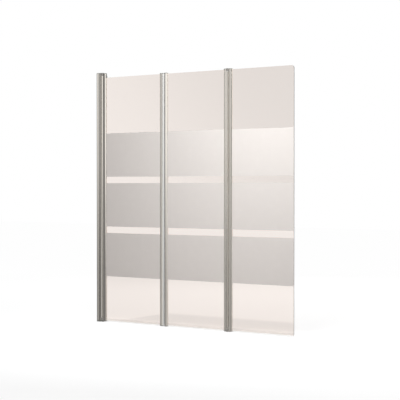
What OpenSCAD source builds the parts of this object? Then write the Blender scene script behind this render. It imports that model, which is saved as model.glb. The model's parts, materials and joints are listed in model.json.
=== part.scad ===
// Folding bath screen: a wall profile and three glass panels on upright hinges.
// X runs along the screen from the wall to the free edge, -Y faces the room,
// +Z is up. The origin lies on the wall, level with the rim of the bath.

/* [Overall] */
// Height of the wall profile above the rim of the bath
screen_h = 1400; // [1200:5:1600]
// Panel 1, from the wall pivot to the first fold
panel_1_w = 424; // [380:2:500]
// Panel 2, from the first fold to the second fold
panel_2_w = 414; // [340:2:480]
// Panel 3, from the second fold to the free edge
panel_3_w = 394; // [300:2:480]

/* [Glass] */
// Thickness of the toughened glass
glass_t = 5; // [4:0.5:6]
// Upper edge of the glass below the head of the wall profile
glass_drop = 28; // [24:1:60]
// Lower edge of the glass above the rim
glass_lift = 9; // [8.5:0.5:14]
// Radius of the upper free corner
corner_r = 15; // [5:1:60]
// Width of the ground arris along the long edges
arris = 0.6; // [0.2:0.1:1.2]

/* [Satin bands] */
// Number of bands on each pane
band_count = 3; // [1:1:4]
// Height of one band
band_h = 243; // [100:1:280]
// Clear strip between two bands
band_gap = 36; // [10:1:60]
// Lower edge of the lowest band above the rim
band_z = 258; // [60:1:320]
// Thickness of the satin film
film_t = 0.2; // [0.1:0.05:0.4]
// Clear margin of glass at the ends of a band
film_edge = 1; // [0.5:0.5:4]

/* [Glass profiles] */
// Depth of a glass profile across the panel
stile_d = 18; // [17.5:0.5:19]
// Bulge of its front and back faces
stile_crown = 3; // [1.5:0.25:3.25]
// Wall of a glass profile
stile_wall = 1.5; // [1.2:0.1:2]
// Width of the hollow chamber behind the glass slot
chamber_w = 4; // [3.6:0.2:8]
// How deep the glass slot is
slot_depth = 10; // [8:0.5:14]
// Thickness of the glazing gasket
gasket_t = 1.2; // [0.8:0.1:1.4]
// How far the gasket's lips stand out of the slot
gasket_lip = 0.8; // [0.4:0.1:2]
// Underside of the profile's foot cap above the rim
stile_foot = 3; // [1:0.5:4]
// Plate thickness of the profile caps
cap_h = 4; // [3:0.5:4.5]

/* [Hinges] */
// Outer radius of a hinge barrel
barrel_r = 6.4; // [6:0.1:7.5]
// Gap between a barrel and the profile that turns round it
turn_gap = 0.5; // [0.4:0.1:1.2]
// Outer radius of a hinge bush
bush_r = 4.2; // [3.9:0.1:4.8]
// Radius of a hinge pin
pin_r = 3; // [2.5:0.1:3.2]
// How far a pin reaches into its barrel
pin_reach = 24; // [16:1:40]
// Height of a hinge block's eye
eye_h = 14; // [10:0.5:20]
// Thickness of a bush flange
flange_t = 1; // [0.8:0.1:2]
// Width of the foot of a barrel's web on its profile
web_w = 4; // [3:0.5:5]
// Gap between a folded panel and the screw covers of the wall profile
fold_clear = 1; // [0.75:0.25:4]

/* [Wall profile] */
// Width of the wall channel, from the wall outwards
channel_w = 24; // [20:0.5:30]
// Depth of the wall channel across the screen, over its beads
channel_d = 23; // [22:0.5:25]
// Wall to the middle of the flat bead on each side of the channel
bead_x = 6; // [5:0.5:8]
// Radius of that bead
bead_r = 9; // [8:0.5:12]
// How far the bead stands out of the channel's side
bead_out = 1.5; // [1:0.1:1.8]
// Corner radius of the channel and of its head and foot
edge_r = 0.8; // [0.4:0.1:1.2]
// Wall of the channel and of the adjusting profile
channel_t = 1.6; // [1.2:0.1:2]
// Back web of the channel, against the wall
back_t = 2.2; // [1.8:0.1:3]
// Wall to the near edge of the adjusting profile
adjust_x = 8; // [6:0.5:12]
// Wall channel's mouth to the axis of the wall pivot
pivot_out = 14; // [13:0.5:20]
// Radius of the holes for the wall screws
fixing_r = 2.75; // [2:0.05:3.5]
// Distance between the upper and the lower wall screw
fixing_pitch = 1200; // [900:10:1300]
// Thickness of the head cap
wall_cap_t = 3; // [2:0.5:5]
// Height of the foot
wall_foot_h = 8; // [6.5:0.5:12]
// Depth of the arm that carries the eye of the wall pivot
eye_arm_d = 11; // [9:0.5:12]
// Distance of the end clamp screws from the middle one
clamp_pitch = 560; // [300:10:580]
// How far the head cap's wedge reaches along the glass
wedge_w = 6; // [3:0.5:10]

/* [Screws, pins and plugs] */
// Radius of the cap and clamp screws
screw_r = 1.4; // [1:0.1:1.6]
// Radius of a screw head
head_r = 2.7; // [2.4:0.1:3]
// Height of a clamp screw's head
clamp_head_h = 1.6; // [1.4:0.1:2.2]
// Length of a cap screw
cap_screw_len = 16; // [10:1:22]
// Width of the cross slot in a screw head
cross_w = 0.6; // [0.4:0.1:0.8]
// Depth of the cross slot in a screw head
cross_depth = 0.9; // [0.5:0.1:1.1]
// Wall of a screw cover
cover_wall = 1.5; // [1:0.1:2.4]
// Thickness of a screw cover's face
cover_top = 0.8; // [0.6:0.1:1.2]
// Chamfer round a screw cover's face
cover_chamfer = 0.6; // [0.3:0.1:0.7]
// Length of the plugs by which caps and blocks sit in their profiles
tongue_h = 14; // [10:1:18]
// Skin at the closed end of a pin's seat
pin_inset = 1.5; // [1:0.25:3]
// Chamfer at the ends of a pin
pin_chamfer = 0.6; // [0.3:0.1:1]

/* [Seals] */
// Wall of a seal
seal_t = 1; // [0.8:0.1:1.2]
// How far the lower seal's legs reach up the glass
seal_leg = 12; // [8:1:24]
// Tip of the lower seal's fins above the rim
fin_z = 1.5; // [0.5:0.5:3]
// Thickness of a fin at its tip
fin_tip_t = 0.7; // [0.4:0.1:0.8]
// Radius of the bulb on a hinge seal
bulb_r = 1.6; // [1.2:0.1:2.2]
// Wall of that bulb
bulb_t = 0.7; // [0.5:0.05:0.9]
// Width of the foot of a hinge seal
seal_foot_w = 4; // [3:0.5:5]

/* [Fits] */
// Play between parts that slide or push together
push_fit = 0.15; // [0.1:0.05:0.3]
// Play between glass, gasket, film and seals
bed_gap = 0.05; // [0.02:0.01:0.1]
// Radial play of a pin in its bush
pin_fit = 0.05; // [0.02:0.01:0.1]
// Play between the adjusting profile and its channel
slide_fit = 0.25; // [0.1:0.05:0.4]
// Play between faces that turn past each other
face_gap = 0.3; // [0.2:0.05:0.6]

/* [Hidden] */
$fn = 48;

silver = "#aaa69e";
cast_grey = "#9c9890";
cap_grey = "#8f8c86";
dark_grey = "#5e5d57";
steel = "#c9c9c6";
clear_glass = [0.93, 0.89, 0.87, 0.45];
satin = [0.83, 0.80, 0.78, 0.85];
clear_pvc = [0.90, 0.91, 0.90, 0.6];
gasket_grey = "#b9b6b0";
white_plastic = "#e8e6e0";

// Places along the screen
pivot_x = channel_w + pivot_out;
fold_1_x = pivot_x + panel_1_w;
fold_2_x = fold_1_x + panel_2_w;
free_x = fold_2_x + panel_3_w;

// The side of the wall channel and the screw covers that stand on it
side_y = channel_d / 2 - bead_out;
cover_r = head_r + cover_wall;
cover_h = clamp_head_h + push_fit + cover_top;

// A fold axis stands this far off the panels' middle, so that a folded panel
// clears the covers: the first fold's axis behind (1), the second's in front (-1)
fold_out = (side_y + cover_h + fold_clear + stile_d / 2) / 2;
fold_1_side = 1;
fold_2_side = -1;

// Across a glass profile, measured from its hinge axis
stile_in = barrel_r + turn_gap;
chamber_in = stile_in + stile_wall;
slot_in = chamber_in + chamber_w + stile_wall;
stile_out = slot_in + slot_depth;
glass_in = slot_in + gasket_t + bed_gap;
stile_mid = (stile_in + stile_out) / 2;
stile_half_w = (stile_out - stile_in) / 2;
side_half_d = stile_d / 2 - stile_crown;
crown_r = (stile_half_w * stile_half_w + stile_crown * stile_crown) / (2 * stile_crown);
chamber_half_d = side_half_d - stile_wall;
slot_half = glass_t / 2 + gasket_t + bed_gap;

// Heights
glass_z1 = screen_h - glass_drop;
stile_z0 = stile_foot + cap_h;
stile_z1 = glass_z1 + face_gap;
cap_z1 = stile_z1 + cap_h;
pivot_head_z = screen_h - wall_cap_t;
pivot_stile_z1 = pivot_head_z - cap_h;
wall_eye_z0 = wall_foot_h + eye_h;
wall_eye_z1 = pivot_head_z - eye_h;
fold_eye_z0 = stile_foot + eye_h;
fold_eye_z1 = cap_z1 - eye_h;
bush_gap = face_gap + flange_t;
bush_len = pin_reach - bush_gap;

// Across the wall profile
inner_half_d = side_y - channel_t - slide_fit;
nose_x = pivot_x - stile_d / 2 - turn_gap;
front_web_x = nose_x - channel_t;
lip_x = pivot_x - barrel_r * 2 / 3;
lip_half_d = stile_in - turn_gap;
nose_tip_x = pivot_x - side_half_d;
clamp_x = (adjust_x + channel_w) / 2;
clamp_depth = 2 * channel_t + slide_fit + head_r;
wall_mid_z = (wall_foot_h + pivot_head_z) / 2;

// ---------------------------------------------------------------- profiles

// Rectangle along X from the origin, centred on Y, with rounded corners
module soft_rect(w, d, r) {
    translate([0, r - d / 2]) square([w, d - 2 * r]);
    translate([r, -d / 2]) square([w - 2 * r, d]);
    for (x = [r, w - r])
        for (y = [r - d / 2, d / 2 - r])
            translate([x, y]) circle(r = r);
}

// Every section below is drawn in the panel's middle plane, with its hinge at
// x = 0 and its panel along +X. side = -1 puts a fold axis in front of the
// panel, side = 1 behind it.

// Outline of a glass profile with softly bulging front and back faces
module stile_outline() {
    intersection() {
        translate([stile_in, -stile_d / 2]) square([stile_out - stile_in, stile_d]);
        translate([stile_mid, crown_r - stile_d / 2]) circle(r = crown_r, $fn = 180);
        translate([stile_mid, stile_d / 2 - crown_r]) circle(r = crown_r, $fn = 180);
    }
}

// The same profile hollowed for the glass and for its screw chamber
module stile_section() {
    difference() {
        stile_outline();
        translate([slot_in, -slot_half]) square([slot_depth + 1, 2 * slot_half]);
        translate([chamber_in, -chamber_half_d]) square([chamber_w, 2 * chamber_half_d]);
    }
}

// Barrel round a fold axis and the web that carries it on its profile
module fold_barrel_section(side) {
    difference() {
        union() {
            translate([0, side * fold_out]) circle(r = barrel_r);
            fold_web(side);
        }
        translate([0, side * fold_out]) circle(r = bush_r + bed_gap);
    }
}

// Web from a fold axis to the near corner of a glass profile
module fold_web(side) {
    mirror([0, side > 0 ? 0 : 1])
        polygon([
            [barrel_r / 2, fold_out - barrel_r / 2],
            [stile_in, side_half_d - web_w],
            [stile_in + web_w, stile_d / 2 - stile_crown / 3],
            [stile_in, fold_out - stile_crown / 3],
            [0, fold_out]
        ]);
}

// Barrel of the wall pivot, in the middle of the panel
module pivot_barrel_section() {
    difference() {
        union() {
            circle(r = barrel_r);
            translate([0, -barrel_r / 2]) square([stile_in + stile_wall, barrel_r]);
        }
        circle(r = bush_r + bed_gap);
    }
}

module between(z0, z1) {
    translate([0, 0, z0]) linear_extrude(z1 - z0) children();
}

// Puts a section's hinge axis at x and points its panel away from or to the wall
module at_axis(x, towards_wall) {
    translate([x, 0, 0]) mirror([towards_wall ? 1 : 0, 0, 0]) children();
}

// Glass profile with a fold barrel, between the caps
module hinge_stile(side) {
    between(stile_z0, stile_z1) stile_section();
    between(fold_eye_z0 + bush_gap, fold_eye_z1 - bush_gap) {
        difference() {
            fold_barrel_section(side);
            translate([chamber_in, -chamber_half_d]) square([chamber_w, 2 * chamber_half_d]);
        }
    }
}

// Plain glass profile of the panel that turns round the barrel
module fold_stile() {
    between(stile_z0, stile_z1) stile_section();
}

// Plate on the end of a profile, with a tongue in its chamber and a screw hole
module stile_cap_solid(out_dir, z_plate0, z_plate1, z_tongue) {
    difference() {
        union() {
            between(z_plate0, z_plate1) stile_outline();
            between(min(z_tongue, z_plate0), max(z_tongue, z_plate1)) chamber_plug();
        }
        screw_space(out_dir, z_plate0, z_plate1);
    }
}

// What fits in a profile's screw chamber with a little play
module chamber_plug() {
    translate([chamber_in + push_fit, -chamber_half_d + push_fit])
        square([chamber_w - 2 * push_fit, 2 * (chamber_half_d - push_fit)]);
}

// Room for a countersunk cap screw: out_dir is 1 at the head of a profile
module screw_space(out_dir, z0, z1) {
    z_face = out_dir > 0 ? z1 : z0;
    translate([chamber_in + chamber_w / 2, 0, z_face])
        mirror([0, 0, out_dir > 0 ? 1 : 0]) {
            translate([0, 0, -1]) cylinder(r = screw_r + bed_gap, h = cap_screw_len + 2);
            translate([0, 0, -0.01])
                cylinder(r1 = head_r + bed_gap, r2 = screw_r + bed_gap, h = head_r - screw_r);
        }
}

// Countersunk cap screw with a cross slot, its head flush with the cap
module cap_screw(out_dir, z_face) {
    translate([chamber_in + chamber_w / 2, 0, z_face])
        mirror([0, 0, out_dir > 0 ? 1 : 0])
            difference() {
                union() {
                    cylinder(r1 = head_r, r2 = screw_r, h = head_r - screw_r);
                    cylinder(r = screw_r, h = cap_screw_len);
                }
                translate([0, 0, -1]) cross_slot(1 + cross_depth);
            }
}

// Cross slot of a screw head, open upwards
module cross_slot(depth) {
    reach = head_r * 1.2;
    for (a = [0, 90])
        rotate([0, 0, a]) translate([-reach / 2, -cross_w / 2, 0]) cube([reach, cross_w, depth]);
}

// Hinge block: a cap on the plain profile with an eye round the fold axis
module hinge_block(side, out_dir) {
    z0 = out_dir > 0 ? stile_z1 : stile_foot;
    z1 = out_dir > 0 ? cap_z1 : stile_z0;
    eye_z0 = out_dir > 0 ? fold_eye_z1 : stile_foot;
    eye_z1 = out_dir > 0 ? cap_z1 : fold_eye_z0;
    tongue = out_dir > 0 ? z0 - tongue_h : z1 + tongue_h;
    difference() {
        union() {
            stile_cap_solid(out_dir, z0, z1, tongue);
            between(z0, z1) fold_web(side);
            translate([0, side * fold_out, eye_z0]) cylinder(r = barrel_r, h = eye_z1 - eye_z0);
        }
        screw_space(out_dir, z0, z1);
        translate([0, side * fold_out, eye_z0 - (out_dir > 0 ? 1 : -pin_inset)])
            cylinder(r = pin_r, h = eye_h + 1 - pin_inset);
    }
}

// The two pins of a fold hinge, each fixed in its block
module fold_pins(side) {
    for (z = [stile_foot + pin_inset, fold_eye_z1 - pin_reach])
        translate([0, side * fold_out, z]) pin_solid(eye_h - pin_inset + pin_reach);
}

// Pin with ground chamfers at both ends
module pin_solid(len) {
    tip_r = pin_r - pin_chamfer;
    cylinder(r1 = tip_r, r2 = pin_r, h = pin_chamfer);
    translate([0, 0, pin_chamfer]) cylinder(r = pin_r, h = len - 2 * pin_chamfer);
    translate([0, 0, len - pin_chamfer]) cylinder(r1 = pin_r, r2 = tip_r, h = pin_chamfer);
}

// Flanged bush in the barrel's lower end, its flange down
module bush_solid() {
    difference() {
        union() {
            cylinder(r = bush_r, h = flange_t + bush_len);
            cylinder(r = barrel_r - turn_gap, h = flange_t);
        }
        translate([0, 0, -1]) cylinder(r = pin_r + pin_fit, h = flange_t + bush_len + 2);
    }
}

// Bushes at both ends of a barrel whose eyes end at z0 and start at z1
module bush_pair(z0, z1) {
    translate([0, 0, z0 + face_gap]) bush_solid();
    translate([0, 0, z1 - face_gap]) mirror([0, 0, 1]) bush_solid();
}

// Bushes of a fold at x, in the barrel that stands on the given side
module fold_bushes(x, side) {
    translate([x, side * fold_out, 0]) bush_pair(fold_eye_z0, fold_eye_z1);
}

// Gasket round the upright edge of a pane, inside its profile
module glazing_gasket(z0, z1) {
    inner = glass_t / 2 + bed_gap;
    between(z0, z1)
        difference() {
            translate([slot_in + bed_gap, -inner - gasket_t + bed_gap])
                square([slot_depth + gasket_lip - bed_gap, 2 * (inner + gasket_t - bed_gap)]);
            translate([glass_in - bed_gap, -inner]) square([slot_depth + gasket_lip, 2 * inner]);
        }
}

// Strip that closes the gap of a fold hinge, on the face away from the barrel
module hinge_seal(side) {
    seal_y = -side * (side_half_d - seal_foot_w / 2 - face_gap);
    tip = -stile_in + face_gap + bulb_r;
    between(stile_z0, stile_z1)
        union() {
            translate([tip, seal_y - seal_t / 2]) square([stile_in - bed_gap - tip, seal_t]);
            translate([stile_in - seal_t - bed_gap, seal_y - seal_foot_w / 2])
                square([seal_t, seal_foot_w]);
            difference() {
                translate([tip, seal_y]) circle(r = bulb_r);
                translate([tip, seal_y]) circle(r = bulb_r - bulb_t);
            }
        }
}

// ---------------------------------------------------------------- panels

// A pane between x0 and x1; its upper free corner is rounded when round_corner
module pane(x0, x1, round_corner) {
    w = x1 - x0;
    h = glass_z1 - glass_lift;
    r = round_corner ? corner_r : 0;
    translate([x0, glass_t / 2, glass_lift])
        intersection() {
            rotate([90, 0, 0])
                linear_extrude(glass_t)
                    union() {
                        square([w, h - r]);
                        square([w - r, h]);
                        if (round_corner) translate([w - r, h - r]) circle(r = r, $fn = 96);
                    }
            translate([0, -glass_t, 0]) linear_extrude(h) arris_outline(w);
            translate([0, 0, h])
                rotate([0, 90, 0])
                    linear_extrude(w)
                        translate([0, -glass_t]) arris_outline(h);
        }
}

// Long rectangle with ground corners, as deep as the glass
module arris_outline(length) {
    polygon([
        [arris, 0],
        [length - arris, 0],
        [length, arris],
        [length, glass_t - arris],
        [length - arris, glass_t],
        [arris, glass_t],
        [0, glass_t - arris],
        [0, arris]
    ]);
}

// The satin bands on the room side of a pane
module satin_bands(x0, x1) {
    for (i = [0 : band_count - 1])
        translate([x0 + film_edge, -glass_t / 2 - bed_gap - film_t, band_z + i * (band_h + band_gap)])
            cube([x1 - x0 - 2 * film_edge, film_t, band_h]);
}

// Clip-on lower seal: a channel on the glass edge and two splayed fins below it
module bottom_seal(x0, x1) {
    inner = glass_t / 2 + bed_gap;
    outer = inner + seal_t;
    z_in = glass_lift - bed_gap;
    z_base = z_in - seal_t;
    translate([x0 + face_gap, 0, 0])
        rotate([90, 0, 90])
            linear_extrude(x1 - x0 - 2 * face_gap)
                union() {
                    difference() {
                        translate([-outer, z_base]) square([2 * outer, glass_lift + seal_leg - z_base]);
                        translate([-inner, z_in]) square([2 * inner, seal_leg + 1]);
                    }
                    polygon([
                        [inner, fin_z],
                        [seal_t * 3 / 2, z_base + seal_t / 2],
                        [-seal_t * 3 / 2, z_base + seal_t / 2],
                        [-inner, fin_z],
                        [fin_tip_t - inner, fin_z],
                        [0, z_base + seal_t / 4],
                        [inner - fin_tip_t, fin_z]
                    ]);
                }
}

// ---------------------------------------------------------------- wall profile

// Outline of the adjusting profile: a box whose chamfered nose is a cup for the
// pivot barrel
module adjusting_outline() {
    chamfer_x = nose_tip_x - inner_half_d + lip_half_d;
    difference() {
        polygon([
            [adjust_x, -inner_half_d],
            [chamfer_x, -inner_half_d],
            [nose_tip_x, -lip_half_d],
            [lip_x, -lip_half_d],
            [lip_x, lip_half_d],
            [nose_tip_x, lip_half_d],
            [chamfer_x, inner_half_d],
            [adjust_x, inner_half_d]
        ]);
        translate([pivot_x, 0]) circle(r = stile_in);
    }
}

// Outline of the wall channel, with a flat bead along the wall on each side
module channel_outline() {
    intersection() {
        translate([0, -channel_d / 2]) square([channel_w, channel_d]);
        union() {
            soft_rect(channel_w, 2 * side_y, edge_r);
            for (y = [bead_r - channel_d / 2, channel_d / 2 - bead_r])
                translate([bead_x, y]) circle(r = bead_r, $fn = 96);
        }
    }
}

module wall_channel() {
    color(silver)
        difference() {
            between(wall_foot_h, pivot_head_z)
                difference() {
                    channel_outline();
                    translate([back_t, channel_t - side_y])
                        square([channel_w, 2 * (side_y - channel_t)]);
                }
            for (i = [-1 : 1])
                translate([-1, 0, wall_mid_z + i * fixing_pitch / 2])
                    rotate([0, 90, 0]) cylinder(r = fixing_r, h = back_t + 2);
            clamp_holes();
        }
}

module adjusting_profile() {
    color(silver)
        difference() {
            between(wall_eye_z0, wall_eye_z1)
                difference() {
                    adjusting_outline();
                    translate([adjust_x - 1, -inner_half_d + channel_t])
                        square([front_web_x - adjust_x + 1, 2 * (inner_half_d - channel_t)]);
                }
            clamp_holes();
        }
}

// Holes of the clamp screws, through both profiles on the bath side
module clamp_holes() {
    for (i = [-1 : 1])
        translate([clamp_x, 0, wall_mid_z + i * clamp_pitch])
            rotate([-90, 0, 0]) cylinder(r = screw_r + bed_gap, h = channel_d);
}

module clamp_screws() {
    color(steel)
        for (i = [-1 : 1])
            translate([clamp_x, side_y, wall_mid_z + i * clamp_pitch])
                rotate([-90, 0, 0])
                    difference() {
                        union() {
                            cylinder(r = head_r, h = clamp_head_h);
                            translate([0, 0, -clamp_depth]) cylinder(r = screw_r, h = clamp_depth);
                        }
                        translate([0, 0, clamp_head_h - cross_depth]) cross_slot(1 + cross_depth);
                    }
}

module screw_covers() {
    color(white_plastic)
        for (i = [-1 : 1])
            translate([clamp_x, side_y, wall_mid_z + i * clamp_pitch])
                rotate([-90, 0, 0])
                    difference() {
                        union() {
                            cylinder(r = cover_r, h = cover_h - cover_chamfer);
                            translate([0, 0, cover_h - cover_chamfer])
                                cylinder(r1 = cover_r, r2 = cover_r - cover_chamfer, h = cover_chamfer);
                        }
                        translate([0, 0, -1])
                            cylinder(r = head_r + push_fit, h = clamp_head_h + push_fit + 1);
                    }
}

// Plan of the wall profile with the arm and eye of its pivot
module wall_plan() {
    channel_outline();
    translate([channel_w / 2, -inner_half_d])
        square([nose_x - channel_w / 2, 2 * inner_half_d]);
    eye_plan();
}

// The arm and eye of the pivot alone
module eye_plan() {
    translate([nose_x - channel_t, -eye_arm_d / 2])
        square([pivot_x - nose_x + channel_t, eye_arm_d]);
    translate([pivot_x, 0]) circle(r = barrel_r);
}

module wall_cap() {
    color(cap_grey) between(pivot_head_z, screen_h) wall_plan();
}

module wall_foot() {
    color(dark_grey) between(0, wall_foot_h) wall_plan();
}

// Block with the eye of the wall pivot; its tongue fills the adjusting profile
module pivot_block(z0, z1, tongue_z0, tongue_z1, pin_z) {
    color(cast_grey)
        difference() {
            union() {
                between(z0, z1) {
                    translate([adjust_x, -inner_half_d])
                        square([nose_x - adjust_x, 2 * inner_half_d]);
                    eye_plan();
                }
                between(tongue_z0, tongue_z1)
                    translate([adjust_x, -inner_half_d + channel_t + push_fit])
                        square([
                            front_web_x - adjust_x - push_fit,
                            2 * (inner_half_d - channel_t - push_fit)
                        ]);
            }
            translate([pivot_x, 0, pin_z]) cylinder(r = pin_r, h = eye_h + 1 - pin_inset);
        }
}

module pivot_block_top() {
    pivot_block(wall_eye_z1, pivot_head_z, wall_eye_z1 - tongue_h, wall_eye_z1 + 1, wall_eye_z1 - 1);
}

module pivot_block_bottom() {
    pivot_block(
        wall_foot_h,
        wall_eye_z0,
        wall_eye_z0 - 1,
        wall_eye_z0 + tongue_h,
        wall_foot_h + pin_inset
    );
}

module pivot_pins() {
    color(steel)
        for (z = [wall_foot_h + pin_inset, wall_eye_z1 - pin_reach])
            translate([pivot_x, 0, z]) pin_solid(eye_h - pin_inset + pin_reach);
}

// ---------------------------------------------------------------- panel 1

module pivot_stile() {
    color(silver)
        at_axis(pivot_x, false) {
            between(stile_z0, pivot_stile_z1) stile_section();
            between(wall_eye_z0 + bush_gap, wall_eye_z1 - bush_gap) pivot_barrel_section();
        }
}

module pivot_bushes() {
    color(white_plastic) at_axis(pivot_x, false) bush_pair(wall_eye_z0, wall_eye_z1);
}

// Head cap with its wedge, and the foot cap
module pivot_stile_caps() {
    color(cap_grey)
        at_axis(pivot_x, false) {
            stile_cap_solid(1, pivot_stile_z1, pivot_head_z, pivot_stile_z1 - tongue_h);
            slot_wedge();
            stile_cap_solid(-1, stile_foot, stile_z0, stile_z0 + tongue_h);
        }
}

// Fills the glass slot above the pane and slopes down to the pane's edge
module slot_wedge() {
    wedge_half_d = slot_half - push_fit;
    translate([0, wedge_half_d, 0])
        rotate([90, 0, 0])
            linear_extrude(2 * wedge_half_d)
                polygon([
                    [slot_in + push_fit, glass_z1 + face_gap],
                    [stile_out + wedge_w, glass_z1 + face_gap],
                    [stile_out, pivot_stile_z1],
                    [stile_out, pivot_stile_z1 + cap_h / 2],
                    [slot_in + push_fit, pivot_stile_z1 + cap_h / 2]
                ]);
}

module pane_1() {
    color(clear_glass) pane(pivot_x + glass_in, fold_1_x - glass_in, false);
}

module satin_bands_1() {
    color(satin)
        satin_bands(pivot_x + stile_out + gasket_lip, fold_1_x - stile_out - gasket_lip);
}

module gasket_1_pivot() {
    color(gasket_grey) at_axis(pivot_x, false) glazing_gasket(stile_z0, glass_z1);
}

module gasket_1_hinge() {
    color(gasket_grey) at_axis(fold_1_x, true) glazing_gasket(stile_z0, glass_z1);
}

module bottom_seal_1() {
    color(clear_pvc)
        bottom_seal(pivot_x + stile_out + gasket_lip, fold_1_x - stile_out - gasket_lip);
}

module hinge_stile_1() {
    color(silver) at_axis(fold_1_x, true) hinge_stile(fold_1_side);
}

module hinge_1_bushes() {
    color(white_plastic) fold_bushes(fold_1_x, fold_1_side);
}

// Head and foot caps of a profile that carries a barrel
module hinge_stile_caps() {
    stile_cap_solid(1, stile_z1, cap_z1, stile_z1 - tongue_h);
    stile_cap_solid(-1, stile_foot, stile_z0, stile_z0 + tongue_h);
}

module hinge_stile_1_caps() {
    color(cap_grey) at_axis(fold_1_x, true) hinge_stile_caps();
}

module hinge_seal_1() {
    color(clear_pvc) at_axis(fold_1_x, true) hinge_seal(fold_1_side);
}

module cap_screws_1() {
    color(steel) {
        at_axis(pivot_x, false) {
            cap_screw(1, pivot_head_z);
            cap_screw(-1, stile_foot);
        }
        at_axis(fold_1_x, true) cap_screw_pair();
    }
}

module cap_screw_pair() {
    cap_screw(1, cap_z1);
    cap_screw(-1, stile_foot);
}

// ---------------------------------------------------------------- panel 2

module fold_stile_2() {
    color(silver) at_axis(fold_1_x, false) fold_stile();
}

module hinge_1_block_top() {
    color(cast_grey) at_axis(fold_1_x, false) hinge_block(fold_1_side, 1);
}

module hinge_1_block_bottom() {
    color(cast_grey) at_axis(fold_1_x, false) hinge_block(fold_1_side, -1);
}

module hinge_1_pins() {
    color(steel) at_axis(fold_1_x, false) fold_pins(fold_1_side);
}

module pane_2() {
    color(clear_glass) pane(fold_1_x + glass_in, fold_2_x - glass_in, false);
}

module satin_bands_2() {
    color(satin)
        satin_bands(fold_1_x + stile_out + gasket_lip, fold_2_x - stile_out - gasket_lip);
}

module gasket_2_fold() {
    color(gasket_grey) at_axis(fold_1_x, false) glazing_gasket(stile_z0, glass_z1);
}

module gasket_2_hinge() {
    color(gasket_grey) at_axis(fold_2_x, true) glazing_gasket(stile_z0, glass_z1);
}

module bottom_seal_2() {
    color(clear_pvc)
        bottom_seal(fold_1_x + stile_out + gasket_lip, fold_2_x - stile_out - gasket_lip);
}

module hinge_stile_2() {
    color(silver) at_axis(fold_2_x, true) hinge_stile(fold_2_side);
}

module hinge_2_bushes() {
    color(white_plastic) fold_bushes(fold_2_x, fold_2_side);
}

module hinge_stile_2_caps() {
    color(cap_grey) at_axis(fold_2_x, true) hinge_stile_caps();
}

module hinge_seal_2() {
    color(clear_pvc) at_axis(fold_2_x, true) hinge_seal(fold_2_side);
}

module cap_screws_2() {
    color(steel) {
        at_axis(fold_1_x, false) cap_screw_pair();
        at_axis(fold_2_x, true) cap_screw_pair();
    }
}

// ---------------------------------------------------------------- panel 3

module fold_stile_3() {
    color(silver) at_axis(fold_2_x, false) fold_stile();
}

module hinge_2_block_top() {
    color(cast_grey) at_axis(fold_2_x, false) hinge_block(fold_2_side, 1);
}

module hinge_2_block_bottom() {
    color(cast_grey) at_axis(fold_2_x, false) hinge_block(fold_2_side, -1);
}

module hinge_2_pins() {
    color(steel) at_axis(fold_2_x, false) fold_pins(fold_2_side);
}

module pane_3() {
    color(clear_glass) pane(fold_2_x + glass_in, free_x, true);
}

module satin_bands_3() {
    color(satin) satin_bands(fold_2_x + stile_out + gasket_lip, free_x);
}

module gasket_3_fold() {
    color(gasket_grey) at_axis(fold_2_x, false) glazing_gasket(stile_z0, glass_z1);
}

module bottom_seal_3() {
    color(clear_pvc) bottom_seal(fold_2_x + stile_out + gasket_lip, free_x);
}

module cap_screws_3() {
    color(steel) at_axis(fold_2_x, false) cap_screw_pair();
}

wall_channel();
adjusting_profile();
clamp_screws();
screw_covers();
wall_cap();
wall_foot();
pivot_block_top();
pivot_block_bottom();
pivot_pins();
pivot_stile();
pivot_bushes();
pivot_stile_caps();
pane_1();
satin_bands_1();
gasket_1_pivot();
gasket_1_hinge();
bottom_seal_1();
hinge_stile_1();
hinge_1_bushes();
hinge_stile_1_caps();
hinge_seal_1();
cap_screws_1();
fold_stile_2();
hinge_1_block_top();
hinge_1_block_bottom();
hinge_1_pins();
pane_2();
satin_bands_2();
gasket_2_fold();
gasket_2_hinge();
bottom_seal_2();
hinge_stile_2();
hinge_2_bushes();
hinge_stile_2_caps();
hinge_seal_2();
cap_screws_2();
fold_stile_3();
hinge_2_block_top();
hinge_2_block_bottom();
hinge_2_pins();
pane_3();
satin_bands_3();
gasket_3_fold();
bottom_seal_3();
cap_screws_3();
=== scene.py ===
# %% [markdown]
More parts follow.
